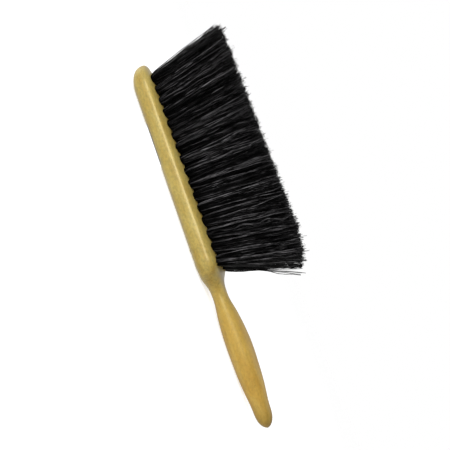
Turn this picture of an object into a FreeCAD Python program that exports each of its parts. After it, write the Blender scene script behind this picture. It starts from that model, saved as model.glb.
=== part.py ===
"""Neck duster brush: a moulded block and handle, folded bristle tufts, their wire anchors and a back label.

Millimetres. X runs along the brush towards the handle, Y across it and Z out of the bristle face.
The origin is on the flat back, at the middle of the block's length.
"""
import FreeCAD, Part
import math
import os

V = FreeCAD.Vector

# Block and handle
BLOCK_LENGTH = 205.0         # from the tip to the middle of the shoulder
BLOCK_THICK = 19.0
BLOCK_HALF_WIDTH = 27.0
BLOCK_HALF_RISE = 10.0       # half the height of the rounded section, before its back and face are cut flat
STRAIGHT_X = (-66.0, 73.0)   # the section stays the same between these
NOSE_LENGTH = 26.0           # the rounded tip seen from above
NOSE_ROUND = 30.0            # the rounded tip seen from the side
NOSE_LIFT = 6.0              # the very tip is this far above the middle of the block's thickness
NOSE_POWER = 2.0
SECTION_POINTS = 32
TIP_POWER = 2.2              # how square the section is; 2 is an ellipse
BLOCK_POWER = 3.2

# Tufts
PITCH = 11.3                 # between tufts along a row
ROW_GAP = 8.6                # between rows
CENTRE_ROW_TUFTS = 17
ROWS_MIDDLE_X = -0.8
HOLE_R = 3.5
HOLE_DEPTH = 13.0
ROOT_CLEARANCE = 0.1
TIP_R = 6.4
TRIM_HEIGHT = 88.6           # the bristles are cut to this height above the back, at the middle
TRIM_TILT_DEG = 0.9          # and a little shorter towards the handle
LEAN_DEG = 1.5               # lean of the middle tufts towards the handle
FAN_DEG = 13.0               # how much further the end tufts lean out along the brush
FLARE_DEG = 7.0              # lean of the outer rows across the brush

# Wire anchors, one across the foot of each tuft
ANCHOR_LENGTH = 7.8
ANCHOR_THICK = 0.4
ANCHOR_HEIGHT = 2.2
ANCHOR_LIFT = 1.2            # above the bottom of the hole

# Label, let into the back and flush with it
LABEL_X = (-42.0, -2.0)       # clear of the origin, where the part rests
LABEL_HALF_WIDTH = 23.5
LABEL_CORNER = 3.0
LABEL_THICK = 0.15

TIP_X = -BLOCK_LENGTH / 2
MID_Z = BLOCK_THICK / 2
FAR = 60.0                   # reach of a cutting box past the brush
HALF_ROW = (CENTRE_ROW_TUFTS - 1) * PITCH / 2

# Distances from the tip where the nose is cut into sections
NOSE_STATIONS = (0.03, 0.5, 1.2, 2.4, 4.0, 6.2, 9.0, 13.0, 18.0, 24.0, 30.0)

# Shoulder, neck, grip and knob: x, half width, half height, middle height, section power
HANDLE_STATIONS = (
    (76.0, 27.0, 10.0, 9.5, 3.2),
    (79.0, 27.0, 10.0, 9.5, 3.2),
    (82.0, 27.0, 10.0, 9.5, 3.2),
    (85.0, 27.0, 10.0, 9.5, 3.2),
    (91.0, 26.7, 9.95, 9.5, 3.15),
    (96.0, 25.3, 8.9, 8.8, 3.0),
    (99.5, 22.0, 8.1, 8.3, 2.8),
    (102.0, 18.3, 7.5, 8.4, 2.6),
    (104.5, 15.0, 7.0, 8.55, 2.4),
    (107.5, 11.8, 6.6, 8.75, 2.2),
    (112.0, 9.5, 6.35, 8.85, 2.1),
    (117.5, 9.0, 6.45, 8.95, 2.05),
    (125.0, 10.1, 7.5, 9.25, 2.05),
    (134.0, 12.0, 8.75, 9.6, 2.1),
    (147.0, 13.8, 9.85, 10.0, 2.15),
    (162.0, 14.4, 10.2, 10.25, 2.15),
    (175.0, 13.8, 9.8, 10.15, 2.15),
    (187.0, 12.2, 9.15, 10.1, 2.1),
    (197.0, 10.2, 8.05, 10.05, 2.1),
    (205.0, 8.8, 7.15, 10.0, 2.05),
    (211.0, 8.4, 6.85, 10.0, 2.05),
    (215.5, 7.7, 6.1, 10.0, 2.1),
    (218.8, 6.0, 4.7, 10.0, 2.1),
    (220.9, 3.9, 3.0, 10.0, 2.1),
    (222.0, 1.9, 1.4, 10.0, 2.1),
    (222.4, 0.7, 0.5, 10.0, 2.1),
)


def rounding(distance, length):
    """Share of the full size at a distance from a rounded end of this length."""
    if distance >= length:
        return 1.0
    return (1 - (1 - distance / length) ** NOSE_POWER) ** (1 / NOSE_POWER)


def nose_station(distance):
    """One section of the rounded tip, in the form of HANDLE_STATIONS."""
    wide = rounding(distance, NOSE_LENGTH)
    tall = rounding(distance, NOSE_ROUND)
    mid_z = MID_Z + NOSE_LIFT * (1 - tall)
    power = TIP_POWER + (BLOCK_POWER - TIP_POWER) * wide
    return (TIP_X + distance, BLOCK_HALF_WIDTH * wide, BLOCK_HALF_RISE * tall, mid_z, power)


def section_wire(x, half_width, half_height, mid_z, power):
    """Closed smooth outline across the brush: an ellipse squared up by its power."""
    points = []
    for i in range(SECTION_POINTS):
        angle = 2 * math.pi * (i + 0.5) / SECTION_POINTS
        c = math.cos(angle)
        s = math.sin(angle)
        y = half_width * math.copysign(abs(c) ** (2 / power), c)
        z = half_height * math.copysign(abs(s) ** (2 / power), s)
        points.append(V(x, y, mid_z + z))
    curve = Part.BSplineCurve()
    curve.interpolate(Points=points, PeriodicFlag=True)
    return Part.Wire([curve.toShape()])


def make_loft(stations):
    """Smooth closed solid through the sections at these stations."""
    return Part.makeLoft([section_wire(*station) for station in stations], True, False)


def cutting_box(x0, x1, z0, z1):
    """A box over the whole width of the brush."""
    return Part.makeBox(x1 - x0, 2 * FAR, z1 - z0, V(x0, -FAR, z0))


def make_body():
    """Block, neck and handle as one smooth solid, with a flat back and a flat bristle face."""
    x0, x1 = STRAIGHT_X
    start, end = [(x, BLOCK_HALF_WIDTH, BLOCK_HALF_RISE, MID_Z, BLOCK_POWER) for x in STRAIGHT_X]
    nose = make_loft([nose_station(d) for d in NOSE_STATIONS] + [start])
    straight = Part.Face(section_wire(*start)).extrude(V(x1 - x0, 0, 0))
    handle = make_loft([end] + list(HANDLE_STATIONS))
    handle_end = HANDLE_STATIONS[-1][0]
    below_back = cutting_box(TIP_X - FAR, handle_end + FAR, -FAR, 0.0)
    above_face = cutting_box(TIP_X - FAR, TIP_X + BLOCK_LENGTH - 1.5, BLOCK_THICK, FAR)
    return straight.fuse([nose, handle]).cut([below_back, above_face]).removeSplitter()


def tuft_places():
    """Station number and (x, y) of each tuft. Even stations hold the outer and centre rows."""
    stations = []
    for k in range(2 * CENTRE_ROW_TUFTS - 1):
        x = ROWS_MIDDLE_X - HALF_ROW + k * PITCH / 2
        if k % 2:
            ys = (-ROW_GAP, ROW_GAP)
        elif k:
            ys = (-2 * ROW_GAP, 0.0, 2 * ROW_GAP)
        else:
            ys = (0.0,)
        stations.append([(x, y) for y in ys])
    return stations


def tuft_axes(x, y):
    """Root point on the face, direction of the tuft, and its two cross directions."""
    root = V(x, y, BLOCK_THICK)
    lean = math.radians(LEAN_DEG + FAN_DEG * (x - ROWS_MIDDLE_X) / HALF_ROW)
    flare = math.radians(FLARE_DEG * y / (2 * ROW_GAP))
    along = V(math.tan(lean), math.tan(flare), 1).normalize()
    side = V(0, 1, 0).cross(along).normalize()
    return root, along, side, along.cross(side)


def make_hole(x, y, anchor):
    """Blind hole for a tuft, run out past the face, with the bite of its anchor at the foot."""
    root, along, _, _ = tuft_axes(x, y)
    bore = Part.makeCylinder(HOLE_R, HOLE_DEPTH + 4, root - along * HOLE_DEPTH, along)
    return bore.fuse(anchor)


def make_anchor(x, y):
    """Flat wire staple across the foot of the hole, biting into the block at both ends."""
    root, along, side, cross = tuft_axes(x, y)
    middle = root - along * (HOLE_DEPTH - ANCHOR_LIFT - ANCHOR_HEIGHT / 2)
    box = Part.makeBox(ANCHOR_LENGTH, ANCHOR_THICK, ANCHOR_HEIGHT)
    box.translate(V(-ANCHOR_LENGTH / 2, -ANCHOR_THICK / 2, -ANCHOR_HEIGHT / 2))
    turn = FreeCAD.Matrix(
        side.x, cross.x, along.x, middle.x,
        side.y, cross.y, along.y, middle.y,
        side.z, cross.z, along.z, middle.z,
        0, 0, 0, 1,
    )
    return box.transformGeometry(turn)


def make_tuft(x, y, anchor):
    """Bundle folded under its anchor, a cylinder in the hole and a widening cone up to the trim."""
    root, along, _, _ = tuft_axes(x, y)
    root_r = HOLE_R - ROOT_CLEARANCE
    free_length = (TRIM_HEIGHT - BLOCK_THICK) / along.z
    overrun = 6.0
    end_r = root_r + (TIP_R - root_r) * (free_length + overrun) / free_length
    foot_length = HOLE_DEPTH - ROOT_CLEARANCE
    foot = Part.makeCylinder(root_r, foot_length, root - along * foot_length, along)
    fan = Part.makeCone(root_r, end_r, free_length + overrun, root, along)
    above_trim = cutting_box(TIP_X - FAR, -TIP_X + FAR, TRIM_HEIGHT, TRIM_HEIGHT + FAR)
    above_trim.rotate(V(0, 0, TRIM_HEIGHT), V(0, 1, 0), TRIM_TILT_DEG)
    return foot.fuse(fan).cut([above_trim, anchor])


def make_label(body):
    """Thin label that follows the back of the block and the start of its rounded sides."""
    x0, x1 = LABEL_X
    outline = Part.makeBox(x1 - x0, 2 * LABEL_HALF_WIDTH, MID_Z, V(x0, -LABEL_HALF_WIDTH, -1))
    upright = [e for e in outline.Edges if abs(e.tangentAt(e.FirstParameter).z) > 0.9]
    outline = outline.makeFillet(LABEL_CORNER, upright)
    half_width = BLOCK_HALF_WIDTH - LABEL_THICK
    core_wire = section_wire(x0 - 1, half_width, BLOCK_HALF_RISE - LABEL_THICK, MID_Z, BLOCK_POWER)
    core = Part.Face(core_wire).extrude(V(x1 - x0 + 2, 0, 0))
    core = core.cut(cutting_box(x0 - FAR, x1 + FAR, -FAR, LABEL_THICK))
    return body.common(outline).cut(core)


def export(shape, node):
    """Writes one sub-part and says how many closed solids it holds."""
    shape.exportStep("parts/%s.step" % node)
    print(node, "solids", len(shape.Solids), "valid", shape.isValid(), "mm3", round(shape.Volume, 1))


def main():
    os.makedirs("parts", exist_ok=True)
    body = make_body()
    label = make_label(body)
    holes = []
    anchors = []
    for number, places in enumerate(tuft_places(), 1):
        tufts = []
        for x, y in places:
            anchor = make_anchor(x, y)
            anchors.append(anchor)
            holes.append(make_hole(x, y, anchor))
            tufts.append(make_tuft(x, y, anchor))
        export(Part.makeCompound(tufts), "bristle_station_%02d" % number)
    export(Part.makeCompound(anchors), "tuft_anchors")
    export(label, "back_label")
    export(body.cut(label).cut(holes), "handle_block")


main()
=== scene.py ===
"""Looks of the neck duster brush: hundreds of bristles in each tuft, the moulded handle, and the studio."""
import math

import bpy
import numpy as np
from mathutils import Matrix, Vector


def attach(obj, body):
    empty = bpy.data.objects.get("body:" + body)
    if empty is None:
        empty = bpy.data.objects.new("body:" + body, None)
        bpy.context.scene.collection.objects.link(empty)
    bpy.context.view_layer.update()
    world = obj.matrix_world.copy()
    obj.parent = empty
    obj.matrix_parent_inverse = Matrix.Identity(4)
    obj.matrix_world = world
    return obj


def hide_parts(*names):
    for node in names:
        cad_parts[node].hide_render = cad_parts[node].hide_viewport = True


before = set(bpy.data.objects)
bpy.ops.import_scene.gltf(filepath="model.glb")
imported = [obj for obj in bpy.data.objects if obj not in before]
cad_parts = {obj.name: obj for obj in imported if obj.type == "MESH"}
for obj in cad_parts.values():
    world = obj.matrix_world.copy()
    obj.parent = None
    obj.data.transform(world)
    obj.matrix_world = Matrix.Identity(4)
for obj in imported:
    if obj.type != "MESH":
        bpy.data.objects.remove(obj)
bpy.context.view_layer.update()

MM = 0.001

# Layout of the tufts, as in the CAD part
PITCH = 11.3 * MM            # between tufts along a row
ROW_GAP = 8.6 * MM           # between rows across the block
ROWS_MIDDLE_X = -0.8 * MM
FACE_Z = 19.0 * MM           # the face that the bristles stand in
LEAN_DEG = 1.5               # lean of the middle tufts towards the handle
FAN_DEG = 13.0               # what both ends of a row add to it, outwards
FLARE_DEG = 7.0              # sideways lean of the outer rows
STATIONS = sorted(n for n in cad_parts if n.startswith("bristle_station"))
HALF_ROW = (len(STATIONS) - 1) * PITCH / 4

# Trim of the tips, with a worn corner at the handle end
TRIM_Z = 88.6 * MM
TRIM_TILT_DEG = 0.9
DROP = 3.6 * MM
DROP_FROM = 80 * MM
DROP_TO = 118 * MM

# One tuft
BRISTLES = 220
LOCKS = 52                   # small locks in which bristles cling together
ROOT_R = 3.4 * MM            # radius of the tuft at the face
ROOT_DEPTH = 3.0 * MM        # how far down its hole a bristle starts
SPREAD_R = 7.6 * MM          # radius of the tuft at its tips
SPREAD_POWER = 0.44          # under 1: the tuft opens soon above its hole
TIP_SCATTER = 0.5 * MM
LOCK_SCATTER = 0.8 * MM
LOCK_PULL = (0.35, 1.0)      # how far a tip is drawn to the middle of its lock
SEED = 20

# Crinkle and bend of the bristles
CRINKLE_TURNS = (1.2, 3.6)
LOCK_CRINKLE = 0.55 * MM
BRISTLE_CRINKLE = 0.22 * MM
HOOK = 0.9 * MM              # sideways bend of a tip
HOOK_POWER = 2.6             # over 1: the bend is mostly near the tip
STRAY_SHARE = 0.04
STRAY_HOOK = 3.0             # times the usual bend

# Lengths of the bristles
TRIM_INSET = 1.9 * MM        # how far the usual tip stays under the trim
LOCK_UNEVEN = 1.6 * MM
BRISTLE_UNEVEN = 0.45 * MM
SHORT_SHARE = 0.10
SHORT_BY = (1 * MM, 9 * MM)
LONG_SHARE = 0.012
LONG_BY = (1 * MM, 4 * MM)

# One bristle
BRISTLE_R = 0.25 * MM
THINNING = (0.7, 1.0)        # share of that radius
TIP_TAPER = 0.55             # radius at the tip, as a share of the radius at the root
RINGS = 12
SIDES = 3
LOCK_TONE = 0.25             # how much of a bristle's tone it shares with its lock
PALE_TONE = 0.75             # bristles over this tone are painted pale grey as lit streaks, a painted highlight, and are drawn thicker
PALE_THICKER = 1.8

# Loose bristles: station, across the brush, how many, splay along the brush at the tip
LOOSE = (
    (0, 0.0, 2, -4.0 * MM),
    (32, -2 * ROW_GAP, 4, 7.0 * MM),
    (32, 0.0, 4, 11.0 * MM),
)
LOOSE_SPLAY = (0.5, 1.2)     # share of the splay
LOOSE_POWER = 1.8            # in place of HOOK_POWER
LOOSE_THICKER = 2.4

# Along the handle: the grip is browner, smoother and duller than the block, and the colour darkens at the
# knob end
TINT_FROM_X = 90 * MM
NECK_X = 100 * MM
GRIP_X = 130 * MM
GRIP_END_X = 197 * MM
KNOB_X = 218 * MM

# Label on the back
LABEL_HALF_WIDTH = 23.5 * MM
LABEL_BORDER = 3.0 * MM

# Depth of the surface relief
HANDLE_RELIEF = 0.04 * MM
LABEL_RELIEF = 0.02 * MM

# Camera, in the part's frame
CAMERA_AT = Vector((187.05, -482.03, 71.77)) * MM
CAMERA_TURN = 14.75          # degrees towards the nose
CAMERA_RISE = 4.5            # degrees above level
CAMERA_ROLL = 68.67
LENS = 48.0
SENSOR = 36.0

# Studio, in metres and watts
FLOOR_HALF = 30.0
FLOOR_GAP = 0.0002
LAMP_AIM = (0.03, 0, 0.03)
LAMPS = (
    ("key", (-0.36, -1.0, 0.42), 0.6, 0.15, 14.0),
    ("fill", (0.10, 0.65, 1.20), 0.8, 0.8, 5.0),
)


# ---------------------------------------------------------------- tufts

def station_tufts(number):
    """(x, y) of each tuft in one cross station. Even numbers hold the outer and centre rows."""
    x = ROWS_MIDDLE_X - HALF_ROW + number * PITCH / 2
    if number % 2:
        ys = (-ROW_GAP, ROW_GAP)
    elif number:
        ys = (-2 * ROW_GAP, 0.0, 2 * ROW_GAP)
    else:
        ys = (0.0,)
    return [(x, y) for y in ys]


def tuft_axes(x, y):
    """Root point on the face, direction of the tuft, and its two cross directions."""
    lean = math.radians(LEAN_DEG + FAN_DEG * (x - ROWS_MIDDLE_X) / HALF_ROW)
    flare = math.radians(FLARE_DEG * y / (2 * ROW_GAP))
    along = np.array([math.tan(lean), math.tan(flare), 1.0])
    along /= np.linalg.norm(along)
    side = np.cross([0.0, 1.0, 0.0], along)
    side /= np.linalg.norm(side)
    return np.array([x, y, FACE_Z]), along, side, np.cross(along, side)


def disc_points(rng, count, radius):
    """Points spread evenly at random over a disc."""
    r = radius * np.sqrt(rng.random(count))
    a = 2 * math.pi * rng.random(count)
    return np.stack([r * np.cos(a), r * np.sin(a)], 1)


def trim_height(x):
    """Height of the trimmed tips above the back, at a distance along the brush."""
    share = np.clip((x - DROP_FROM) / (DROP_TO - DROP_FROM), 0, 1)
    worn = DROP * share * share * (3 - 2 * share)
    return TRIM_Z - x * math.tan(math.radians(TRIM_TILT_DEG)) - worn


def waves(rng, count, size, s):
    """A gentle random crinkle across each line, as (line, ring, 2)."""
    turns = rng.uniform(*CRINKLE_TURNS, (count, 1, 2))
    phase = rng.uniform(0, 2 * math.pi, (count, 1, 2))
    reach = rng.normal(0, size, (count, 1, 2))
    return reach * np.sin(2 * math.pi * turns * s + phase) * np.sqrt(s)


def tuft_ends(rng, loose, splay):
    """Where each bristle leaves the face and ends, across the tuft, and the lock that it belongs to."""
    foot = disc_points(rng, BRISTLES, ROOT_R)
    tip = foot * (SPREAD_R / ROOT_R) + rng.normal(0, TIP_SCATTER, (BRISTLES, 2))
    centres = disc_points(rng, LOCKS, SPREAD_R)
    lock = np.linalg.norm(tip[:, None] - centres[None], axis=2).argmin(1)
    pull = rng.uniform(*LOCK_PULL, (BRISTLES, 1))
    tip = tip + (centres[lock] - tip) * pull
    tip = tip + rng.normal(0, LOCK_SCATTER, (LOCKS, 2))[lock]
    foot[:loose, 0] = math.copysign(ROOT_R, splay)
    tip[:loose, 0] = math.copysign(SPREAD_R, splay)
    return foot, tip, lock


def tip_bends(rng, s, loose, splay):
    """Sideways bend along each bristle, as (bristle, ring, 2)."""
    hook = rng.normal(0, HOOK, (BRISTLES, 2))
    stray = rng.random(BRISTLES) < STRAY_SHARE
    hook[stray] *= STRAY_HOOK
    hook[:loose, 0] += splay * rng.uniform(*LOOSE_SPLAY, loose)
    power = np.where(np.arange(BRISTLES) < loose, LOOSE_POWER, HOOK_POWER)
    return hook[:, None] * s ** power[:, None, None]


def bristle_lengths(rng, lock, tip_x, upright):
    """Length of each bristle along its tuft: to the trim, unevenly, with a few short and long ones."""
    length = (trim_height(tip_x) - FACE_Z) / upright
    length = length + rng.normal(0, LOCK_UNEVEN, LOCKS)[lock]
    length = length + rng.normal(-TRIM_INSET, BRISTLE_UNEVEN, BRISTLES)
    short = rng.random(BRISTLES) < SHORT_SHARE
    length[short] -= rng.uniform(*SHORT_BY, short.sum())
    long = rng.random(BRISTLES) < LONG_SHARE
    length[long] += rng.uniform(*LONG_BY, long.sum())
    return length


def tones_and_radii(rng, lock, loose):
    """A random tone and radius for each bristle; the palest tones are painted as lit streaks. Loose ones
    are black, and thick enough to be seen.
    """
    tone = LOCK_TONE * rng.random(LOCKS)[lock] + (1 - LOCK_TONE) * rng.random(BRISTLES)
    tone[:loose] = 0.0
    radius = BRISTLE_R * rng.uniform(*THINNING, BRISTLES)
    radius[tone > PALE_TONE] *= PALE_THICKER
    radius[:loose] *= LOOSE_THICKER
    return tone, radius


def make_tuft(rng, x, y, loose=0, splay=0.0):
    """Centre lines of one tuft's bristles, as (bristle, ring, xyz), with a tone and radius for each."""
    root, along, side, cross = tuft_axes(x, y)
    s = np.linspace(0, 1, RINGS)[None, :, None]
    foot, tip, lock = tuft_ends(rng, loose, splay)
    flat = foot[:, None] + (tip - foot)[:, None] * s ** SPREAD_POWER
    flat = flat + waves(rng, LOCKS, LOCK_CRINKLE, s)[lock] + waves(rng, BRISTLES, BRISTLE_CRINKLE, s)
    flat = flat + tip_bends(rng, s, loose, splay)
    tip_x = x + along[0] / along[2] * (TRIM_Z - FACE_Z) + flat[:, -1, 0]
    length = bristle_lengths(rng, lock, tip_x, along[2])
    height = -ROOT_DEPTH + (length[:, None] + ROOT_DEPTH) * s[..., 0]
    lines = (
        root
        + along * height[..., None]
        + side * flat[..., :1]
        + cross * flat[..., 1:]
    )
    return lines, *tones_and_radii(rng, lock, loose)


def tubes(lines, radius, tone):
    """Vertices, faces and per-vertex (tone, share of length) of closed thin tubes along the lines."""
    count, rings, _ = lines.shape
    ahead = np.gradient(lines, axis=1)
    ahead /= np.linalg.norm(ahead, axis=2, keepdims=True)
    helper = np.array([0.31, 0.87, 0.11])    # along no bristle, so the cross products hold
    u = np.cross(ahead, helper)
    u /= np.linalg.norm(u, axis=2, keepdims=True)
    v = np.cross(ahead, u)
    taper = np.linspace(1, TIP_TAPER, rings)[None, :, None, None]
    angle = 2 * math.pi * np.arange(SIDES) / SIDES
    ring = u[:, :, None] * np.cos(angle)[:, None] + v[:, :, None] * np.sin(angle)[:, None]
    verts = lines[:, :, None] + ring * taper * radius[:, None, None, None]
    base = np.arange(count)[:, None] * rings * SIDES
    quads = []
    for k in range(rings - 1):
        for i in range(SIDES):
            j = (i + 1) % SIDES
            low = k * SIDES
            high = low + SIDES
            quads.append(base + np.array([low + i, low + j, high + j, high + i]))
    first = base + np.arange(SIDES)[::-1]
    last = base + (rings - 1) * SIDES + np.arange(SIDES)
    faces = [q.tolist() for q in quads] + [first.tolist(), last.tolist()]
    share = np.linspace(0, 1, rings)
    tones = np.repeat(tone, rings * SIDES)
    shares = np.tile(np.repeat(share, SIDES), count)
    return verts.reshape(-1, 3), [f for group in faces for f in group], tones, shares


def mesh_object(name, verts, faces, material, smooth=True):
    """A new object from vertices and faces, in the scene."""
    mesh = bpy.data.meshes.new(name)
    mesh.from_pydata(verts.tolist(), [], faces)
    mesh.polygons.foreach_set("use_smooth", [smooth] * len(mesh.polygons))
    mesh.materials.append(material)
    mesh.validate()
    piece = bpy.data.objects.new(name, mesh)
    bpy.context.scene.collection.objects.link(piece)
    return piece


def add_values(piece, name, values):
    """Stores one number per vertex for the material to read."""
    layer = piece.data.attributes.new(name, "FLOAT", "POINT")
    layer.data.foreach_set("value", values.astype(np.float32))


def make_station(number, node, material):
    """The bristles of every tuft in one cross station, in place of its CAD solids."""
    rng = np.random.default_rng(SEED + number)
    tufts = []
    for x, y in station_tufts(number):
        free = [(count, splay) for k, row, count, splay in LOOSE if (k, row) == (number, y)]
        tufts.append(make_tuft(rng, x, y, *(free[0] if free else ())))
    lines, tones, radii = [np.concatenate(part) for part in zip(*tufts)]
    verts, faces, tone, share = tubes(lines, radii, tones)
    piece = mesh_object(node.replace("station", "tufts"), verts, faces, material)
    add_values(piece, "tone", tone)
    add_values(piece, "share", share)
    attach(piece, "root")
    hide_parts(node)
    return piece


# ---------------------------------------------------------------- materials

def new_material(name):
    """A node material, its tree and its Principled shader."""
    material = bpy.data.materials.new(name)
    material.use_nodes = True
    tree = material.node_tree
    return material, tree, tree.nodes["Principled BSDF"]


def ramp(tree, factor, *stops):
    """A colour ramp through (position, colour) stops. A colour given as one number is a grey."""
    node = tree.nodes.new("ShaderNodeValToRGB")
    marks = node.color_ramp.elements
    while len(marks) < len(stops):
        marks.new(0.5)
    for mark, (place, colour) in zip(marks, stops):
        mark.position = place
        mark.color = (*colour, 1) if isinstance(colour, tuple) else (colour, colour, colour, 1)
    tree.links.new(factor, node.inputs["Fac"])
    return node.outputs["Color"]


def scaled_coordinates(tree, scale):
    """Object coordinates, stretched by a scale for each axis."""
    place = tree.nodes.new("ShaderNodeTexCoord")
    mapping = tree.nodes.new("ShaderNodeMapping")
    mapping.inputs["Scale"].default_value = scale
    tree.links.new(place.outputs["Object"], mapping.inputs["Vector"])
    return mapping.outputs["Vector"]


def noise(tree, coordinates, scale, detail=3.0, roughness=0.5):
    """A noise pattern's grey output."""
    node = tree.nodes.new("ShaderNodeTexNoise")
    node.inputs["Scale"].default_value = scale
    node.inputs["Detail"].default_value = detail
    node.inputs["Roughness"].default_value = roughness
    tree.links.new(coordinates, node.inputs["Vector"])
    return node.outputs["Fac"]


def mix_colours(tree, factor, a, b, blend="MIX"):
    """Mixes two colour outputs."""
    node = tree.nodes.new("ShaderNodeMix")
    node.data_type = "RGBA"
    node.blend_type = blend
    if isinstance(factor, float):
        node.inputs["Factor"].default_value = factor
    else:
        tree.links.new(factor, node.inputs["Factor"])
    tree.links.new(a, node.inputs["A"])
    tree.links.new(b, node.inputs["B"])
    return node.outputs["Result"]


def math_node(tree, operation, value, other=0.0):
    """The result of one sum on a grey output."""
    node = tree.nodes.new("ShaderNodeMath")
    node.operation = operation
    tree.links.new(value, node.inputs[0])
    node.inputs[1].default_value = other
    return node.outputs["Value"]


def bump(tree, shader, height, distance):
    """Small relief from a grey output."""
    node = tree.nodes.new("ShaderNodeBump")
    node.inputs["Distance"].default_value = distance
    tree.links.new(height, node.inputs["Height"])
    tree.links.new(node.outputs["Normal"], shader.inputs["Normal"])


def handle_material():
    """Satin tan moulding: lengthwise swirls and fine mottling on the block, a plainer, browner grip, and
    darker colour at the knob end.
    """
    material, tree, shader = new_material("tan_moulding")
    place = tree.nodes.new("ShaderNodeSeparateXYZ")
    tree.links.new(scaled_coordinates(tree, (1, 1, 1)), place.inputs["Vector"])
    along = place.outputs["X"]
    swirl = noise(tree, scaled_coordinates(tree, (30, 150, 150)), 1.0, 4.0, 0.6)
    base = ramp(
        tree,
        swirl,
        (0.34, (0.228, 0.160, 0.036)),
        (0.50, (0.258, 0.194, 0.050)),
        (0.66, (0.285, 0.226, 0.070)),
    )
    mottle = noise(tree, scaled_coordinates(tree, (420, 640, 640)), 1.0, 4.0, 0.75)
    spots = ramp(tree, mottle, (0.36, (0.78, 0.81, 0.82)), (0.50, 1.0), (0.64, (1.20, 1.14, 1.02)))
    patchy = ramp(tree, along, (NECK_X, 1.0), (GRIP_X, 0.65))
    mottled = mix_colours(tree, patchy, base, spots, "MULTIPLY")
    # Warmer over the grip, and darker at the knob end.
    browner = ramp(
        tree,
        along,
        (TINT_FROM_X, 1.0),
        (GRIP_X, (1.17, 1.02, 0.78)),
        (GRIP_END_X, (1.25, 1.04, 0.74)),
        (KNOB_X, (0.80, 0.67, 0.43)),
    )
    tree.links.new(mix_colours(tree, 1.0, mottled, browner, "MULTIPLY"), shader.inputs["Base Color"])
    satin = ramp(tree, mottle, (0.3, 0.48), (0.7, 0.64))
    dulling = ramp(tree, along, (NECK_X, 0.65), (GRIP_X, 0.93))
    tree.links.new(mix_colours(tree, 1.0, satin, dulling, "MULTIPLY"), shader.inputs["Roughness"])
    grain = noise(tree, scaled_coordinates(tree, (500, 900, 900)), 1.0, 2.0)
    bump(tree, shader, grain, HANDLE_RELIEF)
    shader.inputs["Specular IOR Level"].default_value = 0.4
    shader.inputs["Specular Tint"].default_value = (1.0, 0.86, 0.55, 1.0)
    return material


def vertex_value(tree, name):
    """A number stored at the vertices."""
    node = tree.nodes.new("ShaderNodeAttribute")
    node.attribute_name = name
    return node.outputs["Fac"]


def bristle_material():
    """Black bristle: a random tone, near black on most bristles and a painted highlight of pale grey on a
    few; painted shade towards the roots, darker towards the tips, and painted glints in patches along each.
    """
    material, tree, shader = new_material("black_bristle")
    # Near black for most tones; the palest bristles are painted grey as lit streaks, a painted highlight.
    colour = ramp(
        tree,
        vertex_value(tree, "tone"),
        (0.00, 0.0003),
        (0.50, 0.002),
        (0.70, (0.009, 0.0087, 0.009)),
        (0.86, (0.093, 0.090, 0.093)),
    )
    # Painted shade: darker towards the roots, down in the holes and among the crowded bases of the tuft;
    # also darker towards the tips.
    root_shade_and_tip_fade = ramp(tree, vertex_value(tree, "share"), (0.0, 0.25), (0.35, 1.0), (0.85, 0.9), (1.0, 0.4))
    with_root_shade = mix_colours(tree, 1.0, colour, root_shade_and_tip_fade, "MULTIPLY")
    # Painted glints: the colour is brightened in patches along each bristle.
    glint = noise(tree, scaled_coordinates(tree, (420, 420, 80)), 1.0, 2.0)
    painted_glints = ramp(tree, glint, (0.36, 0.2), (0.62, 1.75))
    tree.links.new(mix_colours(tree, 1.0, with_root_shade, painted_glints, "MULTIPLY"), shader.inputs["Base Color"])
    grain = noise(tree, scaled_coordinates(tree, (1, 1, 1)), 900.0, 2.0)
    tree.links.new(ramp(tree, grain, (0.3, 0.36), (0.7, 0.50)), shader.inputs["Roughness"])
    shader.inputs["Specular IOR Level"].default_value = 0.03
    return material


def wire_material():
    """Drawn steel wire."""
    material, tree, shader = new_material("drawn_wire")
    lines = noise(tree, scaled_coordinates(tree, (200, 3000, 3000)), 1.0, 2.0)
    steel = ramp(tree, lines, (0.3, (0.42, 0.42, 0.43)), (0.7, (0.6, 0.6, 0.61)))
    tree.links.new(steel, shader.inputs["Base Color"])
    tree.links.new(ramp(tree, lines, (0.3, 0.28), (0.7, 0.45)), shader.inputs["Roughness"])
    shader.inputs["Metallic"].default_value = 1.0
    return material


def label_material():
    """Blank white coated paper with a plain dark border along its two long sides."""
    material, tree, shader = new_material("blank_label")
    place = scaled_coordinates(tree, (1, 1, 1))
    fibre = noise(tree, place, 700.0, 4.0, 0.6)
    paper = ramp(tree, fibre, (0.3, (0.82, 0.82, 0.80)), (0.7, (0.9, 0.9, 0.89)))
    # A dark band along the label's two long edges.
    dark_edge_band = ramp(tree, fibre, (0.3, (0.03, 0.03, 0.02)), (0.7, (0.05, 0.05, 0.04)))
    split = tree.nodes.new("ShaderNodeSeparateXYZ")
    tree.links.new(place, split.inputs["Vector"])
    across = math_node(tree, "ABSOLUTE", split.outputs["Y"])
    border = math_node(tree, "GREATER_THAN", across, LABEL_HALF_WIDTH - LABEL_BORDER)
    tree.links.new(mix_colours(tree, border, paper, dark_edge_band), shader.inputs["Base Color"])
    shader.inputs["Roughness"].default_value = 0.5
    bump(tree, shader, fibre, LABEL_RELIEF)
    return material


def floor_material():
    """Plain pale floor."""
    material, tree, shader = new_material("pale_floor")
    tint = noise(tree, scaled_coordinates(tree, (1, 1, 1)), 3.0, 2.0)
    tree.links.new(ramp(tree, tint, (0.3, 0.54), (0.7, 0.57)), shader.inputs["Base Color"])
    shader.inputs["Roughness"].default_value = 0.9
    shader.inputs["Specular IOR Level"].default_value = 0.1
    shader.inputs["Emission Color"].default_value = (1, 1, 1, 1)
    shader.inputs["Emission Strength"].default_value = 0.68
    return material


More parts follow.
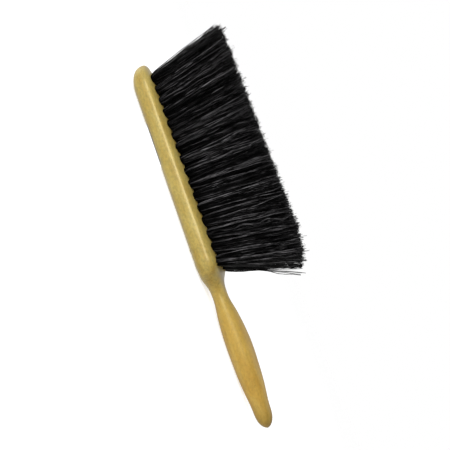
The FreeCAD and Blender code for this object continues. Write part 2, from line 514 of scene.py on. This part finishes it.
def dress(node, material):
    """Gives a CAD node its own material in every slot."""
    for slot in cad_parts[node].material_slots:
        slot.material = material


# ---------------------------------------------------------------- studio

def make_floor():
    """A large flat floor just under the brush."""
    corners = ((-1, -1, 0), (1, -1, 0), (1, 1, 0), (-1, 1, 0))
    verts = FLOOR_HALF * np.array(corners)
    floor = mesh_object("floor", verts, [[0, 1, 2, 3]], floor_material(), smooth=False)
    floor.location.z = -FLOOR_GAP


def make_camera():
    """The photograph's viewpoint: from the handle's side, just above level, and rolled."""
    turn = math.radians(CAMERA_TURN)
    rise = math.radians(CAMERA_RISE)
    roll = math.radians(CAMERA_ROLL)
    look = Vector((-math.sin(turn) * math.cos(rise), math.cos(turn) * math.cos(rise), -math.sin(rise)))
    right = Vector((math.cos(turn), math.sin(turn), 0))
    above = right.cross(look)
    x_axis = right * math.cos(roll) + above * math.sin(roll)
    y_axis = above * math.cos(roll) - right * math.sin(roll)
    data = bpy.data.cameras.new("camera")
    data.lens = LENS
    data.sensor_width = SENSOR
    data.clip_start = 0.01
    data.clip_end = 200.0
    camera = bpy.data.objects.new("camera", data)
    turned = Matrix((x_axis, y_axis, -look)).transposed().to_4x4()
    camera.matrix_world = Matrix.Translation(CAMERA_AT) @ turned
    bpy.context.scene.collection.objects.link(camera)
    bpy.context.scene.camera = camera


def make_light(name, at, width, height, power):
    """A soft rectangular lamp aimed at the brush."""
    data = bpy.data.lights.new(name, "AREA")
    data.shape = "RECTANGLE"
    data.size = width
    data.size_y = height
    data.energy = power
    lamp = bpy.data.objects.new(name, data)
    lamp.location = at
    aim = Vector(LAMP_AIM) - Vector(at)
    lamp.rotation_mode = "QUATERNION"
    lamp.rotation_quaternion = aim.to_track_quat("-Z", "Y")
    bpy.context.scene.collection.objects.link(lamp)


def make_world():
    """White surroundings, dimmer overhead."""
    world = bpy.data.worlds.new("studio")
    world.use_nodes = True
    tree = world.node_tree
    place = tree.nodes.new("ShaderNodeTexCoord")
    height = tree.nodes.new("ShaderNodeSeparateXYZ")
    tree.links.new(place.outputs["Generated"], height.inputs["Vector"])
    shade = ramp(tree, height.outputs["Z"], (0.42, 1.0), (0.7, 0.3))
    tree.links.new(shade, tree.nodes["Background"].inputs["Color"])
    bpy.context.scene.world = world


def main():
    """Every piece, its material and the studio."""
    bristle = bristle_material()
    for number, node in enumerate(STATIONS):
        make_station(number, node, bristle)
    dress("handle_block", handle_material())
    dress("tuft_anchors", wire_material())
    dress("back_label", label_material())
    make_floor()
    make_camera()
    make_world()
    for lamp in LAMPS:
        make_light(*lamp)
    bpy.context.scene.view_settings.view_transform = "Standard"


main()
